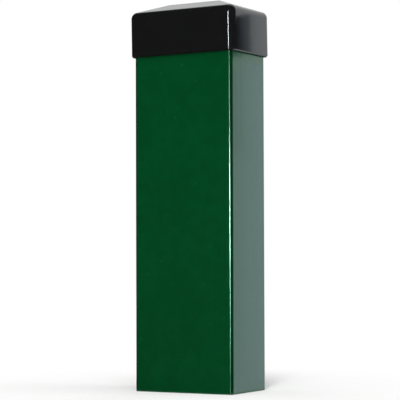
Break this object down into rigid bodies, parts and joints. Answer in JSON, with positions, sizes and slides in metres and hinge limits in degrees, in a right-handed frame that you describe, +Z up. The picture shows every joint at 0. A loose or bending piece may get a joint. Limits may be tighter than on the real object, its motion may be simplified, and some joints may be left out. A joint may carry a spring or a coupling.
{
  "type": "metal fence post",
  "caption": "Rectangular hollow steel fence post section in green powder coat, with a black moulded push-on cap that closes its top.",
  "frame": {"origin": "centre of the post's lower end, on the surface it stands on", "axes": "+Z up along the post towards the cap, +X across the wide face, +Y from the front wide face towards the back one"},
  "size_m": [0.0647, 0.0444, 0.213],
  "materials": {
    "green_powder_coat": "gloss powder coat over zinc coated steel",
    "black_plastic": "smooth gloss moulded plastic"
  },
  "bodies": {
    "root": {"post_tube": "green_powder_coat", "post_cap": "black_plastic"}
  },
  "joints": []
}
